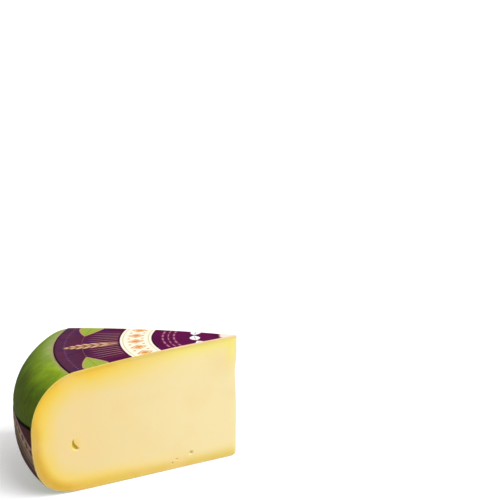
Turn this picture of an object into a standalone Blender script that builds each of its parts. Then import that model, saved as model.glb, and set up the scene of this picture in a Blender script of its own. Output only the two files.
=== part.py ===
"""A wedge cut from a wheel of semi-hard cheese, with the two printed labels that the cuts went through.

The wheel's axis is vertical and runs through the wedge's tip. The tip points to +X, the rind lies
towards -X, and the two cuts face -Y and +Y. The origin is the middle of the footprint, on the
surface that the wedge stands on.
"""

import math

import bmesh
import bpy
from mathutils import Matrix, Vector

# The wheel that the wedge comes from.
WHEEL_RADIUS = 0.180
WHEEL_HEIGHT = 0.1027
WAIST_HEIGHT = 0.0547
UPPER_FLAT_RADIUS = 0.1432
LOWER_FLAT_RADIUS = 0.1296
UPPER_SHOULDER_POWER = 2.07
LOWER_SHOULDER_POWER = 3.17
UPPER_CROWN = 0.0101

# The cuts. The tip is a narrow strip, worn back a little further about three quarters of the way up.
WEDGE_ANGLE = math.radians(47.3)
TIP_SETBACK = 0.0008
NICK_DEPTH = 0.0012
NICK_HEIGHT = 0.074
NICK_REACH_ABOVE = 0.0065
NICK_REACH_BELOW = 0.0170

# The eyes: distance from the wheel's axis, height, half width, half height and depth.
NEAR_CUT_EYES = (
    (0.1449, 0.0385, 0.0026, 0.0036, 0.0034),
    (0.0427, 0.0113, 0.0013, 0.0010, 0.0009),
    (0.0561, 0.0082, 0.0016, 0.0010, 0.0010),
    (0.0601, 0.0056, 0.0011, 0.0008, 0.0008),
)
FAR_CUT_EYES = (
    (0.0980, 0.0640, 0.0031, 0.0024, 0.0030),
    (0.1310, 0.0290, 0.0015, 0.0019, 0.0014),
    (0.0530, 0.0360, 0.0012, 0.0011, 0.0009),
)
EYE_LEAN_OUT = 0.45
EYE_LEAN_DOWN = 0.35
EYE_STAND_OFF = 0.12

# The labels lie on the rind, the upper one round, the side one a band that is a little askew.
LABEL_GAP = 0.0003
LABEL_THICKNESS = 0.0003
UPPER_LABEL_RADIUS = 0.1475
SIDE_LABEL_BOTTOM = 0.0090
SIDE_LABEL_TOP_NEAR = 0.0585
SIDE_LABEL_TOP_FAR = 0.0440

# How finely the round surfaces are stepped. The side label's rows lie closer towards its foot.
TURN_STEPS = 26
CROWN_STEPS = 10
SHOULDER_STEPS = 18
TIP_STEPS = 24
EYE_TURN_STEPS = 14
EYE_RISE_STEPS = 9
SIDE_LABEL_ROWS = 16
SIDE_LABEL_CROWDING = 1.25

# Edges that turn by more than this stay sharp.
SHARP_ANGLE = math.radians(30)

# How near to a form a point or a face counts as part of it, and the step that gives a rim's slope.
TIP_SLACK = 0.0001
TIP_FACE_REACH = 0.005
SLOPE_STEP = 0.0005

LABEL_PROUD = LABEL_GAP + LABEL_THICKNESS
AXIS_X = (WHEEL_RADIUS + LABEL_PROUD + TIP_SETBACK) / 2


def clear_scene():
    for thing in list(bpy.data.objects):
        bpy.data.objects.remove(thing, do_unlink=True)


def new_collection(name):
    collection = bpy.data.collections.new(name)
    bpy.context.scene.collection.children.link(collection)
    return collection


def make_material(name, colour, roughness):
    material = bpy.data.materials.new(name)
    material.use_nodes = True
    shader = material.node_tree.nodes["Principled BSDF"]
    shader.inputs["Base Color"].default_value = (*colour, 1.0)
    shader.inputs["Roughness"].default_value = roughness
    shader.inputs["Metallic"].default_value = 0.0
    return material


def place(bm, name, collection, materials):
    """Turns a bmesh into a smooth-shaded object whose sharp edges stay sharp."""
    mesh = bpy.data.meshes.new(name)
    bm.to_mesh(mesh)
    bm.free()
    mesh.shade_smooth()
    mesh.set_sharp_from_angle(angle=SHARP_ANGLE)
    for material in materials:
        mesh.materials.append(material)
    thing = bpy.data.objects.new(name, mesh)
    collection.objects.link(thing)
    return thing


def upper_height(radius):
    """Height of the wheel's upper surface: a shallow crown that rolls over at the shoulder."""
    crown = WHEEL_HEIGHT - WAIST_HEIGHT - UPPER_CROWN * (radius / WHEEL_RADIUS) ** 2
    along = max(0.0, (radius - UPPER_FLAT_RADIUS) / (WHEEL_RADIUS - UPPER_FLAT_RADIUS))
    rolled = max(0.0, 1 - along ** UPPER_SHOULDER_POWER) ** (1 / UPPER_SHOULDER_POWER)
    return WAIST_HEIGHT + crown * rolled


def upper_shoulder(steps):
    """Points (radius, height) from the upper flat's edge down to the waist."""
    power = 2 / UPPER_SHOULDER_POWER
    points = []
    for step in range(steps + 1):
        turn = math.pi / 2 * step / steps
        radius = UPPER_FLAT_RADIUS + (WHEEL_RADIUS - UPPER_FLAT_RADIUS) * math.sin(turn) ** power
        points.append((radius, upper_height(radius) if step < steps else WAIST_HEIGHT))
    return points


def lower_shoulder_point(turn):
    """A point (radius, height) of the lower shoulder, from the waist at 0 to the floor at pi / 2."""
    power = 2 / LOWER_SHOULDER_POWER
    radius = LOWER_FLAT_RADIUS + (WHEEL_RADIUS - LOWER_FLAT_RADIUS) * max(0.0, math.cos(turn)) ** power
    height = WAIST_HEIGHT * (1 - math.sin(turn) ** power)
    return radius, height


def tip_radius(height):
    """How far from the wheel's axis the tip's strip meets the cuts."""
    reach = NICK_REACH_ABOVE if height > NICK_HEIGHT else NICK_REACH_BELOW
    nick = NICK_DEPTH * math.exp(-((height - NICK_HEIGHT) / reach) ** 2)
    return (TIP_SETBACK + nick) / math.cos(WEDGE_ANGLE / 2)


def cut_outline():
    """The cut's outline (radius, height), up the tip, out over the top and back along the floor."""
    tip = []
    for step in range(TIP_STEPS + 1):
        height = WHEEL_HEIGHT * step / TIP_STEPS
        tip.append((tip_radius(height), height))
    crown = []
    for step in range(1, CROWN_STEPS):
        radius = UPPER_FLAT_RADIUS * step / CROWN_STEPS
        crown.append((radius, upper_height(radius)))
    lower = []
    for step in range(1, SHOULDER_STEPS + 1):
        lower.append(lower_shoulder_point(math.pi / 2 * step / SHOULDER_STEPS))
    return tip + crown + upper_shoulder(SHOULDER_STEPS) + lower


def on_near_cut(radius, height):
    """A point of the near cut, at this distance from the wheel's axis."""
    turn = WEDGE_ANGLE / 2
    return Vector((AXIS_X - radius * math.cos(turn), -radius * math.sin(turn), height))


def spin_over_wedge(bm, geometry):
    """Turns geometry that lies in the near cut round the wheel's axis to the far cut."""
    bmesh.ops.spin(
        bm, geom=geometry, cent=(AXIS_X, 0, 0), axis=(0, 0, 1), angle=-WEDGE_ANGLE, steps=TURN_STEPS,
        use_duplicate=False, use_merge=False)


def flatten_tip(bm):
    """Moves the tip's columns from the arc of the spin onto the flat strip between the cuts."""
    for vert in bm.verts:
        out = AXIS_X - vert.co.x
        radius = math.hypot(out, vert.co.y)
        if radius < tip_radius(vert.co.z) + TIP_SLACK:
            strip = radius * math.cos(WEDGE_ANGLE / 2)
            vert.co.y *= strip / out
            vert.co.x = AXIS_X - strip


def make_wedge(collection, paste, coat):
    bm = bmesh.new()
    corners = [bm.verts.new(on_near_cut(radius, height)) for radius, height in cut_outline()]
    face = bm.faces.new(corners)
    spin_over_wedge(bm, [face, *face.edges, *face.verts])
    flatten_tip(bm)
    bmesh.ops.recalc_face_normals(bm, faces=bm.faces[:])
    for face in bm.faces:
        middle = face.calc_center_median()
        is_cut = len(face.verts) > 4
        is_tip = AXIS_X - middle.x < TIP_FACE_REACH and abs(face.normal.z) < abs(face.normal.x)
        face.material_index = 0 if is_cut or is_tip else 1
    return place(bm, "cheese", collection, [paste, coat])


def make_eye(name, side, size, collection):
    """An ellipsoid that hollows out an eye in the near cut (side 1) or the far cut (side -1).

    Its deep end leans towards the rind and the floor, so the eye runs in under the paste there.
    """
    radius, height, half_width, half_height, depth = size
    outward = Vector((-math.cos(WEDGE_ANGLE / 2), -side * math.sin(WEDGE_ANGLE / 2), 0))
    inward = Vector((-math.sin(WEDGE_ANGLE / 2), side * math.cos(WEDGE_ANGLE / 2), 0))
    deep = inward + EYE_LEAN_OUT * outward - Vector((0, 0, EYE_LEAN_DOWN))
    centre = Vector((AXIS_X, 0, height)) + radius * outward - EYE_STAND_OFF * depth * inward
    lie = Matrix((outward * half_width, deep * depth, Vector((0, 0, half_height)))).transposed()
    bm = bmesh.new()
    bmesh.ops.create_uvsphere(bm, u_segments=EYE_TURN_STEPS, v_segments=EYE_RISE_STEPS, radius=1.0)
    bmesh.ops.transform(bm, matrix=Matrix.Translation(centre) @ lie.to_4x4(), verts=bm.verts)
    bmesh.ops.recalc_face_normals(bm, faces=bm.faces[:])
    cutter = place(bm, name, collection, [])
    cutter.hide_render = True
    cutter.display_type = "WIRE"
    return cutter


def hollow_eyes(wedge, collection):
    for side, eyes, word in ((1, NEAR_CUT_EYES, "near"), (-1, FAR_CUT_EYES, "far")):
        for number, size in enumerate(eyes):
            cutter = make_eye(f"eye_{word}_{number}", side, size, collection)
            cut = wedge.modifiers.new(cutter.name, "BOOLEAN")
            cut.operation = "DIFFERENCE"
            cut.solver = "EXACT"
            cut.object = cutter


def lifted(points):
    """Moves a chain of (radius, height) points off the rind by the gap under a label."""
    moved = []
    for number, (radius, height) in enumerate(points):
        before = points[max(0, number - 1)]
        after = points[min(len(points) - 1, number + 1)]
        along = Vector((after[0] - before[0], after[1] - before[1])).normalized()
        moved.append((radius - along.y * LABEL_GAP, height + along.x * LABEL_GAP))
    return moved


def add_thickness(label):
    """Gives a label's open sheet its thickness, away from the rind."""
    solidify = label.modifiers.new("thickness", "SOLIDIFY")
    solidify.thickness = LABEL_THICKNESS
    solidify.offset = 1.0
    solidify.use_even_offset = True


def make_upper_label(collection, print_material):
    """The round label's sector: a sheet over the crown, out to the start of the shoulder."""
    points = [(tip_radius(WHEEL_HEIGHT), WHEEL_HEIGHT)]
    for step in range(1, CROWN_STEPS + 1):
        radius = UPPER_FLAT_RADIUS * step / CROWN_STEPS
        points.append((radius, upper_height(radius)))
    points += [point for point in upper_shoulder(SHOULDER_STEPS)[1:] if point[0] < UPPER_LABEL_RADIUS]
    points.append((UPPER_LABEL_RADIUS, upper_height(UPPER_LABEL_RADIUS)))
    bm = bmesh.new()
    chain = [bm.verts.new(on_near_cut(radius, height)) for radius, height in lifted(points)]
    edges = [bm.edges.new(pair) for pair in zip(chain, chain[1:])]
    spin_over_wedge(bm, chain + edges)
    flatten_tip(bm)
    for face in bm.faces:
        face.normal_update()
        if face.normal.z < 0:
            face.normal_flip()
    label = place(bm, "label_top", collection, [print_material])
    add_thickness(label)
    return label


def side_point(height):
    """A point (radius, height) of the rim between the lower shoulder and just above the waist."""
    if height > WAIST_HEIGHT:
        rise = (height - WAIST_HEIGHT) / (WHEEL_HEIGHT - WAIST_HEIGHT - UPPER_CROWN)
        along = (1 - rise ** UPPER_SHOULDER_POWER) ** (1 / UPPER_SHOULDER_POWER)
        return UPPER_FLAT_RADIUS + (WHEEL_RADIUS - UPPER_FLAT_RADIUS) * along, height
    along = (1 - (1 - height / WAIST_HEIGHT) ** LOWER_SHOULDER_POWER) ** (1 / LOWER_SHOULDER_POWER)
    return LOWER_FLAT_RADIUS + (WHEEL_RADIUS - LOWER_FLAT_RADIUS) * along, height


def make_side_label(collection, print_material):
    """The side label: a flat grid whose columns are laid round the rim, from cut to cut."""
    bm = bmesh.new()
    bmesh.ops.create_grid(bm, x_segments=TURN_STEPS, y_segments=SIDE_LABEL_ROWS, size=0.5)
    for vert in bm.verts:
        across = vert.co.x + 0.5
        up = vert.co.y + 0.5
        turn = WEDGE_ANGLE * (0.5 - across)
        top = SIDE_LABEL_TOP_NEAR + (SIDE_LABEL_TOP_FAR - SIDE_LABEL_TOP_NEAR) * across
        height = SIDE_LABEL_BOTTOM + (top - SIDE_LABEL_BOTTOM) * up ** SIDE_LABEL_CROWDING
        below = side_point(height - SLOPE_STEP)
        above = side_point(height + SLOPE_STEP)
        along = Vector((above[0] - below[0], above[1] - below[1])).normalized()
        radius = side_point(height)[0] + along.y * LABEL_GAP
        height -= along.x * LABEL_GAP
        vert.co = (AXIS_X - radius * math.cos(turn), -radius * math.sin(turn), height)
    for face in bm.faces:
        face.normal_update()
        if face.normal.x > 0:
            face.normal_flip()
    label = place(bm, "label_side", collection, [print_material])
    add_thickness(label)
    return label


def main():
    clear_scene()
    parts = new_collection("cheese_wedge")
    cutters = new_collection("cutters")
    paste = make_material("paste", (0.93, 0.74, 0.36), 0.5)
    coat = make_material("coat", (0.20, 0.33, 0.03), 0.38)
    upper_print = make_material("print_top", (0.10, 0.02, 0.11), 0.42)
    side_print = make_material("print_side", (0.07, 0.02, 0.08), 0.42)
    wedge = make_wedge(parts, paste, coat)
    hollow_eyes(wedge, cutters)
    make_upper_label(parts, upper_print)
    make_side_label(parts, side_print)


main()
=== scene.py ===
"""The looks of a wedge of green-coated semi-hard cheese: the cut paste, the coat and two labels."""
import math

import bmesh
import bpy
import numpy as np
from mathutils import Matrix, Vector, noise


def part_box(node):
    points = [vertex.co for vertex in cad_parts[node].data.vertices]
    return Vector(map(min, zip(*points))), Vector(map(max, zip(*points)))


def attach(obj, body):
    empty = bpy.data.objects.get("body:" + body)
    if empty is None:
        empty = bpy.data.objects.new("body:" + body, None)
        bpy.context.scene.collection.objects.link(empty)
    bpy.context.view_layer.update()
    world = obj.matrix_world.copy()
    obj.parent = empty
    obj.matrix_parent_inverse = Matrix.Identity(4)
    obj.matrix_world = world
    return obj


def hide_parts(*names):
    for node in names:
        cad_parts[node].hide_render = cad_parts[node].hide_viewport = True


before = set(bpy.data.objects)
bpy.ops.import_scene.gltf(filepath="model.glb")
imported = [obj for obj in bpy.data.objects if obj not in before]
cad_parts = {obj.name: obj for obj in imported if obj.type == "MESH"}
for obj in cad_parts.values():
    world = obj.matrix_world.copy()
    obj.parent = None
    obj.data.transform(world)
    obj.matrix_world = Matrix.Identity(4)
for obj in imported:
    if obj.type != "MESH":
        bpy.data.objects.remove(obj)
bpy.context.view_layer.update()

MM = 0.001
MM_IN_METRE = 1000

# The round that the wedge is a sector of, read from the frame: turned about an upright axis just
# past the tip, with a shallow crown and a rim that rolls over above and below its waist.
LOW, HIGH = (Vector(corner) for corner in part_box("cheese"))
TIP_SETBACK = 0.8 * MM
AXIS_X = HIGH.x + TIP_SETBACK
RADIUS = AXIS_X - LOW.x
HEIGHT = HIGH.z
WEDGE_ANGLE = math.radians(47.3)
HALF_ANGLE = WEDGE_ANGLE / 2
WAIST = 54.7 * MM
UPPER_FLAT = 143.2 * MM
LOWER_FLAT = 129.6 * MM
UPPER_POWER = 2.07
LOWER_POWER = 3.17
CROWN_DROP = 10.1 * MM

# The two cuts, by the side of the wedge's middle that they are on.
NEAR_CUT = -1
FAR_CUT = 1

# The tip: its worn nick, its wear, its blunt nose, how near the nose a point still belongs to it,
# and the rounding of its foot.
NICK_DEPTH = 1.2 * MM
NICK_HEIGHT = 74 * MM
NICK_REACH_ABOVE = 6.5 * MM
NICK_REACH_BELOW = 17 * MM
TIP_WEAR = 0.45 * MM
TIP_WEAR_REACH = 4.2 * MM
NOSE_BULGE = 0.2 * MM
NOSE_MARGIN = 0.05 * MM
FLAT_NOSE_MARGIN = 0.02 * MM
FOOT_ROUNDING = 3.2 * MM
TIP_STEPS = 44

# The cut paste: each ring of a cut's rounded rim by its inset and its depth, and the grid inside.
RIM_RINGS = ((0.0, 0.30 * MM), (0.22 * MM, 0.09 * MM), (0.55 * MM, 0.0), (1.3 * MM, 0.0))
CUT_GRID = 2.2 * MM
PASTE_TURN_STEPS = 24
WAVES_FULL_FROM = 30 * MM

# The eyes: distance from the axis, height, half width, half height and depth, in mm.
SPLIT_EYE = (142.4, 41.0, 4.3, 6.4, 1.15)
NEAR_CUT_EYES = (
    (42.7, 11.3, 1.3, 1.2, 1.6),
    (56.1, 8.2, 1.3, 0.8, 1.2),
    (60.1, 5.6, 0.9, 0.7, 1.0),
)
FAR_CUT_EYES = (
    (98.0, 64.0, 3.1, 2.4, 3.0),
    (131.0, 29.0, 1.5, 1.9, 1.4),
    (53.0, 36.0, 1.2, 1.1, 0.9),
)

# The coat: its layer, how deep under it the paste starts, how far its cut edge stays behind the
# cut, its creases, and the height below which it rests on the ground.
COAT_THICKNESS = 0.9 * MM
PASTE_DEPTH = COAT_THICKNESS * 0.94
COAT_STEP_BACK = 0.12 * MM
COAT_TURN_STEPS = 190
CREASE_COUNT = 26
CREASE_SEED = 12
RESTS_BELOW = 1.9 * MM

# A sheet's columns are laid straight across this near the axis, and drawn back less where narrow.
SHEET_TIP = 4 * MM
NARROW = 0.35 * MM
NARROW_EASE = 1.6 * MM

# The labels: their paper, its lift off the coat and its ripples, the round one's reach and outer
# edge, and the side one's foot, the slant of its upper edge and its grid.
LABEL_PAPER = 0.16 * MM
LABEL_LIFT = 0.08 * MM
LABEL_STEP_BACK = 0.08 * MM
LABEL_REACH = 147.5 * MM
LABEL_TURN_STEPS = 110
LABEL_LAST_STEP = 0.4 * MM
LABEL_EDGE_LEAN = 0.05 * MM
LABEL_RIPPLE = 0.10 * MM
RIPPLES_FULL_FROM = 40 * MM
SIDE_LOW, SIDE_HIGH = (Vector(corner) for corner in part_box("label_side"))
SIDE_FOOT = SIDE_LOW.z + 0.5 * MM
SIDE_SLANT = 14.5 * MM
SIDE_COLUMNS = 150
SIDE_ROWS = 56
CLIMB_STEP = 1.0 * MM

# The round label's print, in mm from the axis, with each motif's size and pitch.
DOT_RING = 139
DOT_PITCH = 4.4
LEAF_RADIUS = 125.0
LEAF_HALF_LENGTH = 22.0
LEAF_HALF_WIDTH = 10.5
LEAF_TURN = 22.5
EAR_MIDDLE = 121
EAR_HALF_LENGTH = 20
GRAIN_PITCH = 6.2
BAND_RADIUS = 82.2
BAND_HALF = 12.6
LOZENGE_PITCH = 15.0
DASH_RINGS = ((60.5, 0.8), (56.0, 0.5), (51.5, 0.8))
PETAL_RADIUS = 35
PETAL_PITCH = 14.2
BARE_TIP = 15

# The side label's print, in mm: its ribbon's height and swing, and the diamonds along the ribbon.
RIBBON_HEIGHT = 40.9
RIBBON_SWING = 7.3
DIAMOND_RADIUS = 180
DIAMOND_PITCH = 9.0

# The camera, as fitted to the photograph: from the axis, in the wedge's own directions.
CAMERA_DISTANCE = 1.0253
CAMERA_HEIGHT = 0.4197
CAMERA_SWING = math.radians(7.98)
CAMERA_YAW = math.radians(0.524)
CAMERA_PITCH = math.radians(13.486)
CAMERA_ROLL = math.radians(0.495)
FOCAL_PIXELS = 1326.1
IMAGE_PIXELS = 500
SENSOR = 36.0

# The floor and the surround: the floor's reach and glow, and the light from above, aside and below.
FLOOR_REACH = 25.0
FLOOR_GLOW = 0.34
DOME_LIGHT = 0.36
HORIZON_LIGHT = 0.16
GROUND_LIGHT = 0.42

# The lamps: each one's direction, strength and width in degrees, and whether it shows in gloss.
LAMPS = (
    ("key", (0.60, -0.47, 0.65), 3.45, 60, True),
    ("rear", (0.86, 0.46, 0.40), 0.5, 60, True),
    ("far_side", (0.25, 0.92, 0.10), 2.3, 70, False),
)


# The wedge's own form

def upper_height(radius):
    """The upper surface: a shallow crown that rolls over at the shoulder."""
    crown = HEIGHT - WAIST - CROWN_DROP * (radius / RADIUS) ** 2
    along = max(0.0, (radius - UPPER_FLAT) / (RADIUS - UPPER_FLAT))
    return WAIST + crown * max(0.0, 1 - along ** UPPER_POWER) ** (1 / UPPER_POWER)


def tip_radius(height):
    """How far from the axis the worn tip meets the cuts."""
    reach = NICK_REACH_ABOVE if height > NICK_HEIGHT else NICK_REACH_BELOW
    nick = NICK_DEPTH * math.exp(-((height - NICK_HEIGHT) / reach) ** 2)
    return (TIP_SETBACK + nick) / math.cos(HALF_ANGLE)


def rind_line(depth=0.0, crown_steps=48, shoulder_steps=56, lower_steps=60, floor_steps=30):
    """The rind's line (radius, height) from the tip's top round to its foot, this deep inside."""
    first = tip_radius(HEIGHT)
    last = tip_radius(0)
    line = []
    for step in range(crown_steps):
        radius = first + (UPPER_FLAT - first) * step / crown_steps
        line.append((radius, upper_height(radius)))
    for step in range(shoulder_steps):
        turn = math.pi / 2 * step / shoulder_steps
        radius = UPPER_FLAT + (RADIUS - UPPER_FLAT) * math.sin(turn) ** (2 / UPPER_POWER)
        line.append((radius, upper_height(radius)))
    for step in range(lower_steps):
        turn = math.pi / 2 * step / lower_steps
        radius = LOWER_FLAT + (RADIUS - LOWER_FLAT) * math.cos(turn) ** (2 / LOWER_POWER)
        line.append((radius, WAIST * (1 - math.sin(turn) ** (2 / LOWER_POWER))))
    for step in range(floor_steps + 1):
        line.append((LOWER_FLAT + (last - LOWER_FLAT) * step / floor_steps, 0.0))
    return offset_line(line, -depth)


def offset_line(line, distance):
    """Moves a line of (radius, height) points outwards, square to itself."""
    points = np.array(line)
    along = np.gradient(points, axis=0)
    along /= np.linalg.norm(along, axis=1)[:, None]
    outward = np.c_[-along[:, 1], along[:, 0]]
    outward[0] = (0, 1)
    outward[-1] = (0, -1)
    return [tuple(point) for point in points + distance * outward]


def rim_radius(height):
    """The radius of the rim at this height, above or below the waist."""
    if height > WAIST:
        rise = (height - WAIST) / (HEIGHT - WAIST - CROWN_DROP)
        along = (1 - rise ** UPPER_POWER) ** (1 / UPPER_POWER)
        return UPPER_FLAT + (RADIUS - UPPER_FLAT) * along
    along = (1 - (1 - height / WAIST) ** LOWER_POWER) ** (1 / LOWER_POWER)
    return LOWER_FLAT + (RADIUS - LOWER_FLAT) * along


def on_near_cut(radius, height):
    return Vector((AXIS_X - radius * math.cos(HALF_ANGLE), -radius * math.sin(HALF_ANGLE), height))


def radius_of(point):
    return math.hypot(AXIS_X - point.x, point.y)


def turn_of(point):
    """The angle round the axis: below zero towards the near cut, zero in the middle."""
    return math.atan2(point.y, AXIS_X - point.x)


def along_cut(side):
    """The level direction along a cut, from the axis to the rind."""
    return Vector((-math.cos(HALF_ANGLE), side * math.sin(HALF_ANGLE), 0))


def cut_normal(side):
    """A cut's outward normal."""
    return Vector((math.sin(HALF_ANGLE), side * math.cos(HALF_ANGLE), 0))


# Making the meshes

def spin_over_wedge(bm, geometry, steps):
    bmesh.ops.spin(
        bm, geom=geometry, cent=(AXIS_X, 0, 0), axis=(0, 0, 1), angle=-WEDGE_ANGLE, steps=steps,
        use_duplicate=False, use_merge=False)


def draw_line(bm, line):
    """Draws an open line of (radius, height) points on the near cut, ready to be spun."""
    chain = [bm.verts.new(on_near_cut(radius, height)) for radius, height in line]
    edges = [bm.edges.new(pair) for pair in zip(chain, chain[1:])]
    return chain, edges


def piece_from(bm, name, material, smooth_under=50):
    """Makes the finished mesh object of a bmesh, at the origin."""
    mesh = bpy.data.meshes.new(name)
    bm.to_mesh(mesh)
    bm.free()
    mesh.shade_smooth()
    mesh.set_sharp_from_angle(angle=math.radians(smooth_under))
    mesh.materials.append(material)
    piece = bpy.data.objects.new(name, mesh)
    bpy.context.scene.collection.objects.link(piece)
    return piece


def sheet_from(bm, name, material, thickness):
    """Makes a thin piece of an open sheet, which gets its thickness inwards."""
    face_outward(bm)
    piece = piece_from(bm, name, material, smooth_under=60)
    wall = piece.modifiers.new("thickness", "SOLIDIFY")
    wall.thickness = thickness
    wall.offset = -1.0
    return piece


def draw_back(bm, distance):
    """Draws a sheet in from both cuts by this distance, easing off at the narrow tip."""
    for vert in bm.verts:
        radius = radius_of(vert.co)
        half_width = radius * HALF_ANGLE
        share = min(1.0, max(0.0, (half_width - NARROW) / NARROW_EASE))
        turn = turn_of(vert.co) * (1 - distance * share / half_width)
        vert.co = (AXIS_X - radius * math.cos(turn), radius * math.sin(turn), vert.co.z)


def lay_straight(vert):
    """Lays a point of a sheet's narrow tip on a straight line across, from cut to cut."""
    radius = radius_of(vert.co)
    share = turn_of(vert.co) / HALF_ANGLE
    vert.co.x = AXIS_X - radius * math.cos(HALF_ANGLE)
    vert.co.y = radius * math.sin(HALF_ANGLE) * share


def face_outward(bm):
    """Turns an open sheet's faces away from the middle of the round."""
    middle = Vector((AXIS_X, 0, WAIST))
    bmesh.ops.recalc_face_normals(bm, faces=bm.faces[:])
    bm.normal_update()
    if sum(face.normal.dot(face.calc_center_median() - middle) for face in bm.faces) < 0:
        bmesh.ops.reverse_faces(bm, faces=bm.faces[:])


def round_foot(bm):
    """Rounds the corner where the tip's strip meets the underside."""
    for vert in bm.verts:
        behind = FOOT_ROUNDING - (AXIS_X - TIP_SETBACK - vert.co.x)
        above = FOOT_ROUNDING - vert.co.z
        if min(behind, above) > 0:
            share = max(behind, above) / math.hypot(behind, above)
            vert.co.x += behind * (share - 1)
            vert.co.z += above * (1 - share)


# Writing the materials

class Value:
    """A shader value that works in Python expressions: each operator adds its Math node."""

    def __init__(self, nodes, socket):
        self.nodes = nodes
        self.socket = socket

    def math(self, operation, *inputs):
        return self.nodes.add("Math", {"operation": operation}, dict(enumerate(inputs)))

    def __add__(self, other):
        return self.math("ADD", self, other)

    def __sub__(self, other):
        return self.math("SUBTRACT", self, other)

    def __rsub__(self, other):
        return self.math("SUBTRACT", other, self)

    def __mul__(self, other):
        return self.math("MULTIPLY", self, other)

    def __truediv__(self, other):
        return self.math("DIVIDE", self, other)

    def __pow__(self, other):
        return self.math("POWER", self, other)

    __radd__ = __add__
    __rmul__ = __mul__

    def absolute(self):
        return self.math("ABSOLUTE", self)

    def sine(self):
        return self.math("SINE", self)

    def root(self):
        return self.math("SQRT", self)

    def lower_of(self, other):
        return self.math("MINIMUM", self, other)

    def higher_of(self, other):
        return self.math("MAXIMUM", self, other)

    def saw(self, period):
        """Runs from -period/2 to period/2 over and over, with zero in the middle of each period."""
        return self.math("WRAP", self, period / 2, -period / 2)

    def rises(self, low, high):
        """0 below low, 1 above high, a smooth step between."""
        settings = {"interpolation_type": "SMOOTHSTEP"}
        sockets = {"Value": self, "From Min": low, "From Max": high}
        return self.nodes.add("MapRange", settings, sockets)

    def within(self, middle, half_width, edge):
        """1 where the value is this near to the middle, 0 outside."""
        return 1 - (self - middle).absolute().rises(half_width - edge, half_width + edge)

    def under(self, limit, edge):
        """1 below the limit, 0 above it."""
        return 1 - self.rises(limit - edge, limit + edge)


class Nodes:
    """A node tree, which gets all its nodes and links here."""

    def __init__(self, tree):
        self.tree = tree

    def add(self, kind, settings, sockets, output=0):
        """Adds a node: its settings first, then the value or the link of each socket."""
        node = self.tree.nodes.new("ShaderNode" + kind)
        for name, setting in settings.items():
            if name == "stops":
                self.set_stops(node.color_ramp.elements, setting)
            else:
                setattr(node, name, setting)
        for key, value in sockets.items():
            self.feed(node.inputs[key], value)
        return Value(self, node.outputs[output])

    def feed(self, socket, value):
        if isinstance(value, Value):
            self.tree.links.new(value.socket, socket)
        else:
            socket.default_value = value

    def set_stops(self, elements, stops):
        while len(elements) < len(stops):
            elements.new(1.0)
        for element, (position, colour) in zip(elements, stops):
            element.position = position
            element.color = colour


class Paint(Nodes):
    """A material's node tree and its Principled shader."""

    def __init__(self, name):
        self.material = bpy.data.materials.new(name)
        self.material.use_nodes = True
        super().__init__(self.material.node_tree)
        self.shader = self.tree.nodes["Principled BSDF"]
        self.place = self.add("TexCoord", {}, {}, "Object")

    def mix(self, factor, first, second):
        """The first colour where the factor is 0, the second where it is 1."""
        return self.add("Mix", {"data_type": "RGBA"}, {0: factor, 6: first, 7: second}, 2)

    def noise(self, scale, detail=2.0, roughness=0.5, stretch=(1, 1, 1)):
        """Noise in the object's own metres, from about 0 to 1."""
        where = self.add("Mapping", {}, {"Vector": self.place, "Scale": stretch})
        sockets = {"Vector": where, "Scale": scale, "Detail": detail, "Roughness": roughness}
        return self.add("TexNoise", {}, sockets)

    def attribute(self, name):
        return self.add("Attribute", {"attribute_name": name}, {}, "Fac")

    def bump(self, height, distance, strength, under=None):
        sockets = {"Height": height, "Distance": distance, "Strength": strength}
        if under is not None:
            sockets["Normal"] = under
        return self.add("Bump", {}, sockets)

    def finish(self, **sockets):
        """Feeds the Principled shader; a name's underscores stand for spaces."""
        for name, value in sockets.items():
            self.feed(self.shader.inputs[name.replace("_", " ")], value)
        return self.material

    def axes(self):
        """The place in mm: out from the axis, across the wedge, and height."""
        x, y, z = (self.add("SeparateXYZ", {}, {0: self.place}, axis) for axis in "XYZ")
        return (AXIS_X - x) * MM_IN_METRE, y * MM_IN_METRE, z * MM_IN_METRE

    def polar(self):
        """Distance from the axis in mm, and turn in degrees, zero in the wedge's middle."""
        out, across, _ = self.axes()
        radius = (out * out + across * across).root()
        turn = across.math("ARCTAN2", across, out) * math.degrees(1)
        return radius, turn

    def cut_depth(self):
        """The distance in mm behind the nearer cut."""
        out, across, _ = self.axes()
        return out * math.sin(HALF_ANGLE) - across.absolute() * math.cos(HALF_ANGLE)


def ink(red, green, blue):
    """A colour given as it looks on screen, from 0 to 255, as the linear colour a shader takes."""
    def linear(level):
        level /= 255
        return level / 12.92 if level <= 0.04045 else ((level + 0.055) / 1.055) ** 2.4
    return linear(red), linear(green), linear(blue), 1.0


# The cut paste

def paste_outline():
    """The cut paste's outline: up the tip, then along the coat's inner side to the tip's foot."""
    rind = rind_line(PASTE_DEPTH, crown_steps=56, shoulder_steps=44, lower_steps=52, floor_steps=44)
    top = rind[0][1]
    foot = rind[-1][1]
    heights = [foot + (top - foot) * step / TIP_STEPS for step in range(1, TIP_STEPS)]
    return [(tip_radius(height), height) for height in heights] + rind


def wear_at_tip(radius):
    """How far the cut curves back near the handled tip."""
    return TIP_WEAR * max(0.0, 1 - radius / TIP_WEAR_REACH) ** 2


def cut_wave(point, side):
    """The shallow waves that the wire leaves in a cut, always into the paste."""
    slow = noise.noise(Vector((point.x * 16, side * 7.0, point.z * 22)))
    quick = noise.noise(Vector((point.x * 55, side * 3.0, point.z * 18)))
    return (0.20 + 0.16 * slow + 0.05 * quick) * MM


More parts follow.
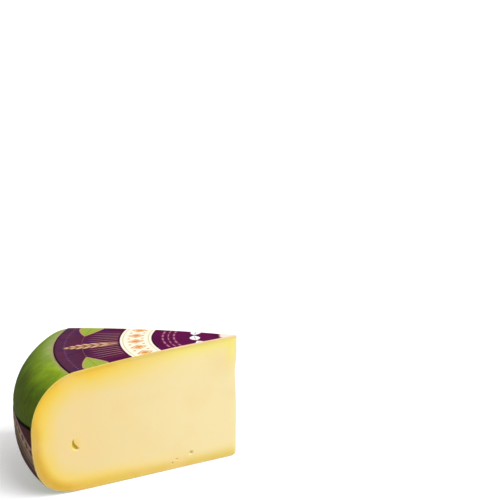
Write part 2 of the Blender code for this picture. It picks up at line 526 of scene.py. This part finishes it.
def grid_over_face(bm, face, side):
    """Splits one flat cut into a grid of small faces, by planes square to the cut."""
    face.material_index = 1
    for direction, reach in ((along_cut(side), RADIUS), (Vector((0, 0, 1)), HEIGHT)):
        start = Vector((AXIS_X, 0, 0))
        for step in range(1, int(reach / CUT_GRID) + 1):
            faces = [face for face in bm.faces if face.material_index == 1]
            edges = {edge for face in faces for edge in face.edges}
            verts = {vert for face in faces for vert in face.verts}
            bmesh.ops.bisect_plane(
                bm, geom=[*faces, *edges, *verts], dist=1e-7,
                plane_co=start + direction * (step * CUT_GRID), plane_no=direction)
    for face in bm.faces:
        face.material_index = 0


def dress_cut(bm, side):
    """Rounds one cut's rim by narrow rings, fills it with a grid and lays the wire's waves in."""
    normal = cut_normal(side)
    aligned = [face for face in bm.faces if face.normal.dot(normal) > 0.9]
    face = max(aligned, key=lambda face: face.calc_area())
    depth_of = {vert: RIM_RINGS[0][1] for vert in face.verts}
    previous = 0.0
    for inset, depth in RIM_RINGS[1:]:
        bmesh.ops.inset_region(bm, faces=[face], thickness=inset - previous, use_even_offset=True)
        previous = inset
        depth_of.update({vert: depth for vert in face.verts})
    before = set(bm.verts)
    grid_over_face(bm, face, side)
    for vert in bm.verts:
        if vert in before and vert not in depth_of:
            continue
        radius = radius_of(vert.co)
        depth = depth_of.get(vert, 0.0)
        if radius < tip_radius(vert.co.z) + FLAT_NOSE_MARGIN:
            depth = 0.0
        wave = cut_wave(vert.co, side) * min(1.0, radius / WAVES_FULL_FROM)
        vert.co -= normal * (depth + wear_at_tip(radius) + wave)


def round_nose(bm):
    """Lays the tip's narrow columns between the two cuts as a blunt, slightly round nose."""
    for vert in bm.verts:
        reach = tip_radius(vert.co.z)
        if radius_of(vert.co) < reach + NOSE_MARGIN:
            strip = reach * math.cos(HALF_ANGLE)
            across = turn_of(vert.co) / HALF_ANGLE
            vert.co.y = strip * math.tan(HALF_ANGLE) * across
            vert.co.x = AXIS_X - strip - NOSE_BULGE * across ** 2


def eye_cutter(bm, side, size, seed):
    """Adds a slightly uneven ellipsoid whose deep end leans towards the rind and the floor."""
    radius, height, half_width, half_height, depth = (length * MM for length in size)
    outward = along_cut(side)
    inward = -cut_normal(side)
    deep = inward + 0.95 * outward - Vector((0, 0, 0.75))
    centre = Vector((AXIS_X, 0, height)) + radius * outward - 0.05 * depth * inward
    verts = bmesh.ops.create_uvsphere(bm, u_segments=28, v_segments=18, radius=1.0)["verts"]
    for vert in verts:
        swell = 1 + 0.09 * noise.noise(vert.co * 1.3 + Vector((seed * 5.0, side, 0)))
        x, y, z = vert.co * swell
        up = Vector((0, 0, half_height * z))
        vert.co = centre + outward * (half_width * x) + deep * (depth * y) + up


def split_eye_cutter(bm, side, size):
    """Adds a crescent pocket, thickest low on the rind's side, for an eye split by the knife."""
    radius, height, half_width, half_height, depth = (length * MM for length in size)
    outward = along_cut(side)
    centre = Vector((AXIS_X, 0, height)) + radius * outward
    verts = bmesh.ops.create_uvsphere(bm, u_segments=24, v_segments=30, radius=1.0)["verts"]
    for vert in verts:
        share = (1 - vert.co.z) / 2
        bend = math.radians(15 - 115 * share)
        thick = (0.55 + 1.15 * math.sin(math.pi * share ** 1.3)) * MM
        reach = 1 + 0.18 * noise.noise(vert.co * 1.7)
        level = outward * math.cos(bend) * (half_width + thick * vert.co.x * reach)
        up = Vector((0, 0, math.sin(bend) * (half_height + thick * vert.co.x * reach)))
        vert.co = centre + level + up - cut_normal(side) * (depth * vert.co.y * reach)


def hollow_eyes(paste):
    """Cuts the eyes into the paste and leaves the result in its mesh."""
    bm = bmesh.new()
    split_eye_cutter(bm, NEAR_CUT, SPLIT_EYE)
    for side, eyes in ((NEAR_CUT, NEAR_CUT_EYES), (FAR_CUT, FAR_CUT_EYES)):
        for number, size in enumerate(eyes):
            eye_cutter(bm, side, size, number + 1)
    bmesh.ops.recalc_face_normals(bm, faces=bm.faces[:])
    cutter = piece_from(bm, "eye_cutter", paste.data.materials[0])
    cut = paste.modifiers.new("eyes", "BOOLEAN")
    cut.operation = "DIFFERENCE"
    cut.solver = "EXACT"
    cut.object = cutter
    shaped = paste.evaluated_get(bpy.context.evaluated_depsgraph_get())
    hollowed = bpy.data.meshes.new_from_object(shaped)
    paste.modifiers.clear()
    paste.data = hollowed
    bpy.data.objects.remove(cutter, do_unlink=True)


def mark_rind_depth(mesh):
    """Stores each point's distance from the rind, in mm, for the drying colours."""
    rind = np.array(rind_line())
    starts = rind[:-1]
    runs = rind[1:] - starts
    count = len(mesh.vertices)
    places = np.empty(count * 3)
    mesh.vertices.foreach_get("co", places)
    places = places.reshape(count, 3)
    flat = np.c_[np.hypot(AXIS_X - places[:, 0], places[:, 1]), places[:, 2]]
    share = ((flat[:, None] - starts) * runs).sum(2) / (runs ** 2).sum(1)
    nearest = starts + np.clip(share, 0, 1)[..., None] * runs
    depth = np.linalg.norm(flat[:, None] - nearest, axis=2).min(1) / MM
    layer = mesh.attributes.new("rind_depth", "FLOAT", "POINT")
    layer.data.foreach_set("value", depth.astype(np.float32))


def make_paste():
    bm = bmesh.new()
    outline = [bm.verts.new(on_near_cut(radius, height)) for radius, height in paste_outline()]
    face = bm.faces.new(outline)
    spin_over_wedge(bm, [face, *face.edges, *face.verts], PASTE_TURN_STEPS)
    round_nose(bm)
    bmesh.ops.recalc_face_normals(bm, faces=bm.faces[:])
    for side in (NEAR_CUT, FAR_CUT):
        dress_cut(bm, side)
    round_foot(bm)
    bmesh.ops.triangulate(bm, faces=[face for face in bm.faces if len(face.verts) > 4])
    paste = piece_from(bm, "cut_paste", paste_finish(), smooth_under=35)
    hollow_eyes(paste)
    mark_rind_depth(paste.data)
    return paste


def depth_ramp(paint, depth, colours):
    """Blends the colours that the drying paste passes through, from the rind to 25 mm inside."""
    places = (0.0, 0.06, 0.16, 0.27, 0.42, 0.62, 1.0)
    return paint.add("ValToRGB", {"stops": list(zip(places, colours))}, {0: depth / 25})


def paint_drying(paint, depth, patches):
    """The paste's colours: gold under the rind, cream inside, darker and duller along the foot and
    low on the rim.
    """
    out, _, height = paint.axes()
    towards_tip = depth_ramp(paint, depth, (
        ink(255, 232, 176), ink(250, 228, 126), ink(252, 233, 130), ink(254, 235, 146),
        ink(254, 234, 163), ink(254, 233, 172), ink(253, 232, 176)))
    towards_rim = depth_ramp(paint, depth, (
        ink(250, 210, 124), ink(248, 197, 60), ink(250, 203, 64), ink(251, 210, 80),
        ink(250, 216, 102), ink(249, 219, 126), ink(247, 221, 158)))
    colour = paint.mix(out.rises(24, 130), towards_tip, towards_rim)
    # Darker, duller tones along the foot and low on the outer rim.
    floor_tone = paint.mix(patches.rises(0.45, 0.65), ink(230, 196, 92), ink(234, 182, 76))
    colour = paint.mix(height.under(6.8, 6.0) * 0.8, colour, floor_tone)
    low_rim = depth.under(7.5, 5.5) * out.rises(120, 150) * (1 - height.rises(40, 66)) * 0.9
    colour = paint.mix(low_rim, colour, ink(216, 170, 52))
    outer_rim = depth.under(4.5, 4.0) * out.rises(140, 160) * (1 - height.rises(52, 76)) * 0.85
    colour = paint.mix(outer_rim, colour, ink(214, 174, 80))
    old_patches = paint.noise(33, 2.0)
    return paint.mix(old_patches.rises(0.45, 0.75) * 0.4, colour, ink(250, 219, 150))


def paint_tip(paint, colour):
    """A fresher yellow at the tip's top, and a painted highlight: the pale line down its edge."""
    out, _, height = paint.axes()
    tip_top = out.under(9, 5) * height.rises(70, 92) * 0.7
    colour = paint.mix(tip_top, colour, ink(253, 238, 128))
    # Painted highlight: a pale line down the tip's rounded edge, where it catches the light.
    tip_highlight_tone = paint.mix(height.rises(38, 62), ink(252, 240, 176), ink(255, 228, 196))
    return paint.mix(out.under(2.4, 1.4) * 0.75, colour, tip_highlight_tone)


def paint_eyes(paint, colour, inside_eye):
    """A painted highlight beside the split eye, standing for its lit inner wall, and painted shade
    darkening the inside of every eye.
    """
    out, across, height = paint.axes()
    eye_radius, eye_height = SPLIT_EYE[:2]
    glow_out = (eye_radius + 2.2) * math.cos(HALF_ANGLE)
    glow_height = eye_height - 2.3
    beside_eye = ((out - glow_out) ** 2 + (height - glow_height) ** 2).root()
    # Painted highlight: a golden patch beside the split eye, where its inner wall would catch the
    # light.
    glow = beside_eye.under(3.2, 2.4) * across.under(0, 1) * 0.7
    colour = paint.mix(glow, colour, ink(254, 212, 92))
    # Painted shade: the eyes' insides are painted darker and more golden, where shade falls in the
    # hollows.
    eye_shade_tone = paint.mix(height.rises(15, 25), ink(236, 208, 124), ink(206, 178, 22))
    return paint.mix(inside_eye * 0.9, colour, eye_shade_tone)


def paste_finish():
    """Cream paste that dries to gold under the rind, with faint curd marks and wire lines."""
    paint = Paint("paste")
    out, _, height = paint.axes()
    drift = paint.noise(24, 3.0)
    patches = paint.noise(60, 4.0, 0.6)
    near_foot = (1 - height.rises(12, 34)) * out.under(135, 20)
    even_depth = paint.attribute("rind_depth") * (near_foot * 0.5 + 1)
    depth = even_depth + (drift - 0.5) * 6 + (patches - 0.5) * 2
    # The inside of every eye: painted shade in its colour, and a glossier finish.
    inside_eye = paint.cut_depth().rises(0.44, 0.66) * out.rises(20, 30)
    colour = paint_drying(paint, depth, patches)
    colour = paint_tip(paint, colour)
    colour = paint_eyes(paint, colour, inside_eye)
    wire = paint.noise(140, 3.0, 0.6, (1, 1, 0.12))
    grain = paint.noise(900, 3.0, 0.6)
    relief = paint.bump(patches, 0.12 * MM, 0.5)
    relief = paint.bump(wire, 0.06 * MM, 0.5, relief)
    relief = paint.bump(grain, 0.05 * MM, 0.5, relief)
    shine = 0.50 + patches * 0.12 - inside_eye * 0.2
    return paint.finish(
        Base_Color=colour, Roughness=shine, Normal=relief, IOR=1.45,
        Subsurface_Weight=0.25, Subsurface_Radius=(0.009, 0.006, 0.003), Subsurface_Scale=0.6)


# The green coat

def coat_creases():
    """The creases over the shoulder, each at a turn and a place along the rind's line."""
    rng = np.random.default_rng(CREASE_SEED)
    creases = []
    for _ in range(CREASE_COUNT):
        creases.append({
            "turn": rng.uniform(-HALF_ANGLE, HALF_ANGLE),
            "middle": rng.uniform(0.158, 0.235),
            "reach": rng.uniform(0.008, 0.026),
            "width": rng.uniform(0.6, 1.2) * MM,
            "rise": rng.uniform(0.10, 0.30) * MM,
            "lean": rng.uniform(-0.35, 0.35),
        })
    return creases


def coat_relief(turn, along, creases):
    """How far the coat stands off its plain form, at a turn and a place along the rind's line."""
    height = 0.0
    for crease in creases:
        down = along - crease["middle"]
        aside = (turn - crease["turn"]) * RADIUS - crease["lean"] * down
        if abs(down) > 2 * crease["reach"] or abs(aside) > 4 * crease["width"]:
            continue
        fade = math.exp(-(down / crease["reach"]) ** 2)
        ridge = math.exp(-(aside / crease["width"]) ** 2)
        trough = math.exp(-((aside - 1.9 * crease["width"]) / crease["width"]) ** 2)
        height += crease["rise"] * fade * (ridge - 0.55 * trough)
    slow = noise.noise(Vector((turn * 16, along * 38, 0.0)))
    quick = noise.noise(Vector((turn * 60, along * 130, 4.0)))
    return height + (0.16 * slow + 0.07 * quick) * MM


def make_coat():
    line = rind_line(crown_steps=44, shoulder_steps=64, lower_steps=64, floor_steps=24)
    points = np.array(line)
    along = np.r_[0, np.cumsum(np.linalg.norm(np.diff(points, axis=0), axis=1))]
    outward = np.array(offset_line(line, 1.0)) - points
    bm = bmesh.new()
    row_of = bm.verts.layers.int.new("row")
    chain, edges = draw_line(bm, line)
    for row, vert in enumerate(chain):
        vert[row_of] = row
    spin_over_wedge(bm, chain + edges, COAT_TURN_STEPS)
    creases = coat_creases()
    for vert in bm.verts:
        radius = radius_of(vert.co)
        if radius < SHEET_TIP:
            lay_straight(vert)
            continue
        row = vert[row_of]
        lift = coat_relief(turn_of(vert.co), along[row], creases)
        if vert.co.z < RESTS_BELOW:
            lift = min(lift, 0.0) * 0.3
        if radius < LABEL_REACH and vert.co.z > WAIST:
            lift = min(lift, 0.0) * 0.15
        radial = Vector((vert.co.x - AXIS_X, vert.co.y, 0)).normalized()
        vert.co += radial * (outward[row][0] * lift) + Vector((0, 0, outward[row][1] * lift))
    draw_back(bm, COAT_STEP_BACK)
    round_foot(bm)
    return sheet_from(bm, "green_coat", coat_finish(), COAT_THICKNESS)


def coat_finish():
    """Satin lime coating, mottled, with painted shade making it deeper green down the rim, a
    painted sheen near the far top of the shoulder, and its cut edge pale.
    """
    paint = Paint("coat")
    out, _, height = paint.axes()
    radius, turn = paint.polar()
    mottle = paint.noise(60, 4.0, 0.6)
    streak = paint.noise(70, 4.0, 0.6, (1, 1, 0.22))
    fine = paint.noise(420, 3.0, 0.6)
    fleck = paint.noise(190, 3.0, 0.65, (1, 1, 0.35))
    lime = paint.mix(mottle.rises(0.32, 0.7), ink(140, 172, 18), ink(162, 192, 34))
    # Painted shade: the green is painted deeper and streakier down the rim, where the lamps leave
    # the rim in shade.
    deep = paint.mix(streak.rises(0.35, 0.7), ink(106, 122, 16), ink(100, 148, 22))
    deep = paint.mix(height.rises(64, 84), ink(126, 150, 22), deep)
    down = 1 - (height + (streak - 0.5) * 18).rises(76, 96)
    colour = paint.mix(down, lime, deep)
    colour = paint.mix(fleck.rises(0.48, 0.7) * 0.24, colour, ink(60, 98, 12))
    # Dark clouds at random, laid on more thickly down the rim as part of the painted shade there.
    clouds = paint.noise(150, 2.0, 0.5)
    colour = paint.mix(clouds.rises(0.45, 0.7) * (0.2 + down * 0.15), colour, ink(70, 104, 10))
    # Painted sheen: a pale grey-green veil near the top of the shoulder, towards the far cut, where
    # the coat would reflect its pale surround.
    painted_sheen = radius.under(154, 8) * turn.rises(-17, 5) * (0.3 + mottle * 0.7)
    colour = paint.mix(painted_sheen, colour, ink(176, 184, 132))
    near_label = radius.within(LABEL_REACH / MM, 2.4, 1.2) * height.rises(80, 90)
    colour = paint.mix(near_label * 0.7, colour, ink(176, 160, 108))
    rim_tone = paint.mix(height.rises(30, 62), ink(240, 206, 146), ink(234, 208, 98))
    edge_tone = paint.mix(out.under(66, 16), rim_tone, ink(252, 216, 172))
    colour = paint.mix(paint.cut_depth().under(0.55, 0.25), colour, edge_tone)
    relief = paint.bump(mottle, 0.4 * MM, 0.6)
    relief = paint.bump(fine, 0.1 * MM, 0.5, relief)
    shine = 0.42 + fine * 0.14 + mottle * 0.06
    return paint.finish(Base_Color=colour, Roughness=shine, Normal=relief, IOR=1.30)


# The labels' sheets

def make_top_label():
    """The printed sector on the crown, a thin sheet that follows the coat."""
    crown = [
        point for point in rind_line(crown_steps=70, shoulder_steps=64)
        if point[0] < LABEL_REACH - LABEL_LAST_STEP and point[1] > WAIST]
    line = [*crown, (LABEL_REACH, upper_height(LABEL_REACH))]
    off_coat = LABEL_LIFT + LABEL_PAPER
    lifted = offset_line(line, off_coat)
    lifted[-1] = (line[-1][0] + LABEL_EDGE_LEAN, line[-1][1] + off_coat)
    bm = bmesh.new()
    chain, edges = draw_line(bm, lifted)
    spin_over_wedge(bm, chain + edges, LABEL_TURN_STEPS)
    for vert in bm.verts:
        radius = radius_of(vert.co)
        if radius < SHEET_TIP:
            lay_straight(vert)
            continue
        ripple = noise.noise(vert.co * 90) * 0.5 + noise.noise(vert.co * 260) * 0.2
        vert.co.z += LABEL_RIPPLE * (ripple + 0.7) * min(1.0, radius / RIPPLES_FULL_FROM)
    draw_back(bm, LABEL_STEP_BACK)
    return sheet_from(bm, "round_label", top_print(), LABEL_PAPER)


def side_label_top(turn):
    """The height of the side label's upper edge: a little askew, higher at the near cut."""
    return SIDE_HIGH.z - SIDE_SLANT * (0.5 + turn / WEDGE_ANGLE)


def make_side_label():
    """The dark sheet round the lower rim, from its foot up to its slanting upper edge."""
    bm = bmesh.new()
    bmesh.ops.create_grid(bm, x_segments=SIDE_COLUMNS, y_segments=SIDE_ROWS, size=0.5)
    for vert in bm.verts:
        turn = WEDGE_ANGLE * vert.co.x
        height = SIDE_FOOT + (side_label_top(turn) - SIDE_FOOT) * (vert.co.y + 0.5) ** 1.2
        run = rim_radius(height + CLIMB_STEP / 2) - rim_radius(height - CLIMB_STEP / 2)
        climb = Vector((run, CLIMB_STEP)).normalized()
        place = Vector((turn * 14, height * 70, 2.0))
        ripple = (0.14 + 0.14 * noise.noise(place) + 0.05 * noise.noise(place * 4)) * MM
        lift = LABEL_LIFT + LABEL_PAPER + ripple
        radius = rim_radius(height) + climb.y * lift
        height -= climb.x * lift
        vert.co = (AXIS_X - radius * math.cos(turn), radius * math.sin(turn), height)
    draw_back(bm, LABEL_STEP_BACK)
    return sheet_from(bm, "side_label", side_print(), LABEL_PAPER)


# The labels' print

PURPLE = ink(102, 2, 72)
DEEP_PURPLE = ink(46, 6, 34)
TAN = ink(190, 150, 112)
LIME = ink(158, 176, 62)
CREAM = ink(254, 242, 220)
ORANGE = ink(224, 150, 66)
WHITE_INK = ink(250, 244, 246)
EDGE = 0.18


def print_finish(paint, colour, shine):
    """Ink on thin paper under the clear coating, with its pale edge at the cuts."""
    out, _, height = paint.axes()
    lifted = out.under(14, 7) * height.rises(90, 95) * 0.9
    edge = paint.cut_depth().under(lifted + 0.42, 0.2)
    edge_tone = paint.mix(out.under(66, 16), ink(240, 206, 104), ink(250, 212, 186))
    colour = paint.mix(edge, colour, edge_tone)
    blotch = paint.noise(70, 3.0)
    fine = paint.noise(520, 3.0, 0.6)
    relief = paint.bump(blotch, 0.3 * MM, 0.5)
    relief = paint.bump(fine, 0.08 * MM, 0.5, relief)
    return paint.finish(Base_Color=colour, Roughness=shine + fine * 0.14, Normal=relief, IOR=1.09)


def paint_field(paint, radius, arc, patches):
    """The purple field, darker towards the rim and then greyer, the grey a painted sheen, with its
    dark border and a ring of dots.
    """
    wash = paint.noise(55, 4.0, 0.6)
    colour = paint.mix(wash.rises(0.3, 0.7), PURPLE, ink(80, 3, 60))
    colour = paint.mix(radius.rises(88, 112) * 0.22, colour, ink(50, 24, 30))
    # Painted sheen: a grey veil over the field's outer part, where the label reflects its pale
    # surround.
    colour = paint.mix(radius.rises(112, 140) * 0.24, colour, ink(96, 82, 88))
    worn = patches.rises(0.5, 0.64) * radius.rises(90, 125) * 0.55
    colour = paint.mix(worn, colour, ink(58, 30, 86))
    border = LABEL_REACH / MM
    colour = paint.mix(radius.rises(border - 1.4, border - 0.5) * 0.85, colour, DEEP_PURPLE)
    dot = ((arc * DOT_RING).saw(DOT_PITCH) ** 2 + (radius - DOT_RING) ** 2).root()
    return paint.mix(dot.under(0.75, EDGE) * 0.55, colour, ink(150, 96, 148))


def paint_leaf(paint, colour, radius, turn, at_turn):
    """Prints one pointed lime leaf with a tan edge and veins, lying round the axis."""
    along = (turn - at_turn) * (LEAF_RADIUS * math.radians(1))
    aside = (radius - LEAF_RADIUS).absolute()
    share = (along / LEAF_HALF_LENGTH).absolute().lower_of(1.0)
    outline = (1 - share ** 1.4) * LEAF_HALF_WIDTH - aside
    colour = paint.mix(outline.rises(-EDGE, EDGE), colour, TAN)
    colour = paint.mix(outline.rises(1.0, 1.0 + 2 * EDGE), colour, LIME)
    rib = aside.under(0.32, EDGE)
    side_veins = (along + aside * 0.9).saw(4.2).absolute().under(0.22, EDGE)
    veins = rib.higher_of(side_veins) * outline.rises(1.6, 1.9)
    return paint.mix(veins * 0.75, colour, ink(112, 132, 36))


def paint_rays(paint, colour, radius, turn):
    """Prints fine rays that fan out from the band towards the leaves."""
    rays = turn.saw(2.6).absolute() * (radius * math.radians(1))
    fan = radius.rises(96, 97) * radius.under(118, 6) * turn.absolute().under(17, 3)
    return paint.mix(rays.under(0.28, 0.2) * fan * 0.8, colour, ink(214, 176, 150))


def paint_wheat_ear(paint, colour):
    """Prints a bronze ear of grain on the wedge's middle line, its stalk towards the tip."""
    out, across, _ = paint.axes()
    aside = across.absolute()
    stalk = aside.under(0.8, EDGE) * out.within(118, 22, 0.5)
    colour = paint.mix(stalk, colour, ink(150, 100, 62))
    spread = (out - EAR_MIDDLE) / EAR_HALF_LENGTH
    half_width = ((1 - spread * spread) * 7.0).higher_of(0.3)
    lengthwise = (out - aside * 0.95).saw(GRAIN_PITCH) / (GRAIN_PITCH / 2)
    sideways = aside * 2 / half_width - 1
    grain = 0.9 - lengthwise * lengthwise - sideways * sideways
    grain = grain * spread.absolute().under(0.98, 0.02)
    colour = paint.mix(grain.rises(0.0, 0.25), colour, ink(184, 134, 92))
    colour = paint.mix(grain.rises(0.35, 0.8), colour, ink(222, 182, 146))
    blade = aside - (out - 96) * 0.30
    blades = blade.within(0.0, 0.9, EDGE) * out.within(104, 7.5, 1.0)
    return paint.mix(blades, colour, ink(196, 148, 112))


def paint_band(paint, colour, radius, arc):
    """Prints the cream band with its hairlines, orange lozenges and pairs of beads between them."""
    band = radius.within(BAND_RADIUS, BAND_HALF, EDGE)
    colour = paint.mix(radius.within(BAND_RADIUS, BAND_HALF + 1, EDGE), colour, DEEP_PURPLE)
    colour = paint.mix(band, colour, CREAM)
    hairline = radius.within(92.4, 0.35, EDGE).higher_of(radius.within(72.0, 0.35, EDGE))
    colour = paint.mix(hairline * 0.7, colour, ink(196, 180, 130))
    along = arc * BAND_RADIUS
    aside = (radius - BAND_RADIUS).absolute()
    lozenge = along.saw(LOZENGE_PITCH).absolute() * 1.25 + aside
    colour = paint.mix(lozenge.under(7.0, EDGE) * band, colour, ORANGE)
    colour = paint.mix(lozenge.within(4.6, 0.5, EDGE) * band, colour, CREAM)
    between = (along + LOZENGE_PITCH / 2).saw(LOZENGE_PITCH)
    bead = (between ** 2 + (aside - 5.5) ** 2).root()
    return paint.mix(bead.under(1.2, EDGE) * band, colour, ink(206, 170, 104))


def paint_dashes(paint, colour, radius, arc):
    """Prints three rings of pink dashes inside the band."""
    for ring, half_width in DASH_RINGS:
        dash = (arc * ring).saw(9.0).absolute().under(3.1, EDGE)
        ringed = radius.within(ring, half_width, EDGE) * dash * 0.8
        colour = paint.mix(ringed, colour, ink(190, 120, 140))
    return colour


def paint_petals(paint, colour, radius, arc):
    """Prints a ring of white petals with a rib each, near the tip."""
    along = ((arc * PETAL_RADIUS + 2).saw(PETAL_PITCH) / 6.4).absolute().lower_of(1.0)
    aside = (radius - PETAL_RADIUS).absolute()
    petal = (1 - along * along) * 4.4 - aside
    colour = paint.mix(petal.rises(0.1, 0.1 + 2 * EDGE), colour, WHITE_INK)
    rib = aside.under(0.45, EDGE) * petal.rises(2.2, 2.6)
    return paint.mix(rib * 0.7, colour, ink(150, 110, 140))


def top_print():
    """The round label: purple, with leaves, rays, a wheat ear, a cream band, dashes and petals."""
    paint = Paint("print_top")
    radius, turn = paint.polar()
    arc = turn * math.radians(1)
    patches = paint.noise(85, 4.0, 0.6)
    colour = paint_field(paint, radius, arc, patches)
    for at_turn in (-LEAF_TURN, LEAF_TURN):
        colour = paint_leaf(paint, colour, radius, turn, at_turn)
    colour = paint_rays(paint, colour, radius, turn)
    colour = paint_wheat_ear(paint, colour)
    colour = paint_band(paint, colour, radius, arc)
    colour = paint_dashes(paint, colour, radius, arc)
    colour = paint_petals(paint, colour, radius, arc)
    rubbed_bare = (radius + (patches - 0.5) * 10).under(BARE_TIP, 1.5)
    colour = paint.mix(rubbed_bare, colour, ink(254, 226, 214))
    return print_finish(paint, colour, 0.34)


def side_print():
    """The side label: a dark ground, near-black along its upper edge, with a pale line low down,
    and a tan and olive ribbon with diamonds.
    """
    paint = Paint("print_side")
    _, _, height = paint.axes()
    _, turn = paint.polar()
    wash = paint.noise(55, 4.0, 0.6)
    ground = paint.mix(wash.rises(0.3, 0.7), ink(126, 62, 78), ink(110, 74, 64))
    slope = SIDE_SLANT / MM / math.degrees(WEDGE_ANGLE)
    upper_edge = SIDE_HIGH.z / MM - (turn + math.degrees(HALF_ANGLE)) * slope
    colour = paint.mix((upper_edge - height).under(2.6, 0.3), ground, ink(24, 8, 12))
    wave = ((1 - turn) * math.radians(9)).sine() * RIBBON_SWING + RIBBON_HEIGHT
    ribbon = height - wave
    worn = paint.noise(170, 4.0, 0.65).rises(0.3, 0.7)
    olive = paint.mix(worn, ink(158, 138, 92), ink(196, 174, 138))
    tan = paint.mix(worn, ink(214, 176, 152), ink(242, 210, 196))
    colour = paint.mix(ribbon.within(-3.0, 6.2, 0.3), colour, olive)
    colour = paint.mix(ribbon.within(1.4, 4.4, 0.3), colour, tan)
    along = (turn * math.radians(1) * DIAMOND_RADIUS).saw(DIAMOND_PITCH).absolute()
    diamond = along * 0.8 + (ribbon - 1.4).absolute()
    colour = paint.mix(diamond.under(2.6, 0.3), colour, ink(150, 84, 84))
    colour = paint.mix(ribbon.within(-12.4, 0.9, 0.3), colour, ink(188, 160, 152))
    return print_finish(paint, colour, 0.4)


# The stage

def make_stage():
    """A wide pale floor, a soft surround and three large lamps."""
    bm = bmesh.new()
    bmesh.ops.create_grid(bm, x_segments=1, y_segments=1, size=FLOOR_REACH)
    floor = piece_from(bm, "floor", floor_finish())
    floor.visible_diffuse = False
    floor.visible_glossy = False
    scene = bpy.context.scene
    scene.view_settings.view_transform = "Standard"
    scene.world = bpy.data.worlds.new("studio")
    scene.world.use_nodes = True
    light_dome(Nodes(scene.world.node_tree))
    for name, direction, strength, width, in_gloss in LAMPS:
        make_lamp(name, Vector(direction), strength, width, in_gloss)


def floor_finish():
    """An even pale floor that glows faintly, so that it photographs white."""
    paint = Paint("pale_floor")
    colour = paint.mix(paint.noise(0.6, 1.0), (0.81, 0.81, 0.81, 1.0), (0.83, 0.83, 0.83, 1.0))
    return paint.finish(
        Base_Color=colour, Roughness=0.9,
        Emission_Color=(1.0, 1.0, 1.0, 1.0), Emission_Strength=FLOOR_GLOW)


def light_dome(nodes):
    """A surround that is bright overhead, dim at the horizon, with the floor's glow below."""
    direction = nodes.add("TexCoord", {}, {}, "Generated")
    up = nodes.add("SeparateXYZ", {}, {0: direction}, "Z")
    lit = nodes.add("LightPath", {}, {}, "Is Camera Ray")
    for low, high, light in ((0.35, 0.95, DOME_LIGHT), (-0.15, -0.7, GROUND_LIGHT)):
        lit = lit.higher_of(nodes.add("MapRange", {}, {
            "Value": up, "From Min": low, "From Max": high,
            "To Min": HORIZON_LIGHT, "To Max": light}))
    background = nodes.tree.nodes["Background"]
    nodes.feed(background.inputs["Color"], (1.0, 1.0, 1.0, 1.0))
    nodes.feed(background.inputs["Strength"], lit)


def make_lamp(name, direction, strength, width, in_gloss):
    """A far, broad lamp that shines from this direction; its width is in degrees."""
    light = bpy.data.lights.new(name, "SUN")
    light.energy = strength
    light.angle = math.radians(width)
    lamp = bpy.data.objects.new(name, light)
    lamp.visible_glossy = in_gloss
    lamp.location = direction
    lamp.rotation_euler = direction.to_track_quat("Z", "Y").to_euler()
    bpy.context.scene.collection.objects.link(lamp)


def make_camera():
    """The camera as it stood for the photograph."""
    lens = bpy.data.cameras.new("camera")
    lens.sensor_width = SENSOR
    lens.lens = FOCAL_PIXELS / IMAGE_PIXELS * SENSOR
    camera = bpy.data.objects.new("camera", lens)
    place = Vector((
        AXIS_X - CAMERA_DISTANCE * math.sin(CAMERA_SWING),
        -CAMERA_DISTANCE * math.cos(CAMERA_SWING),
        CAMERA_HEIGHT))
    heading = Matrix.Rotation(-(CAMERA_SWING + CAMERA_YAW), 4, "Z")
    tilt = Matrix.Rotation(math.pi / 2 - CAMERA_PITCH, 4, "X")
    roll = Matrix.Rotation(CAMERA_ROLL, 4, "Z")
    camera.matrix_world = Matrix.Translation(place) @ heading @ tilt @ roll
    bpy.context.scene.collection.objects.link(camera)
    bpy.context.scene.camera = camera


for piece, node, slot in (
        (make_paste(), "cheese", "paste"),
        (make_coat(), "cheese", "coat"),
        (make_top_label(), "label_top", "print_top"),
        (make_side_label(), "label_side", "print_side")):
    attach(piece, "root")
    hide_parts(node)
make_stage()
make_camera()
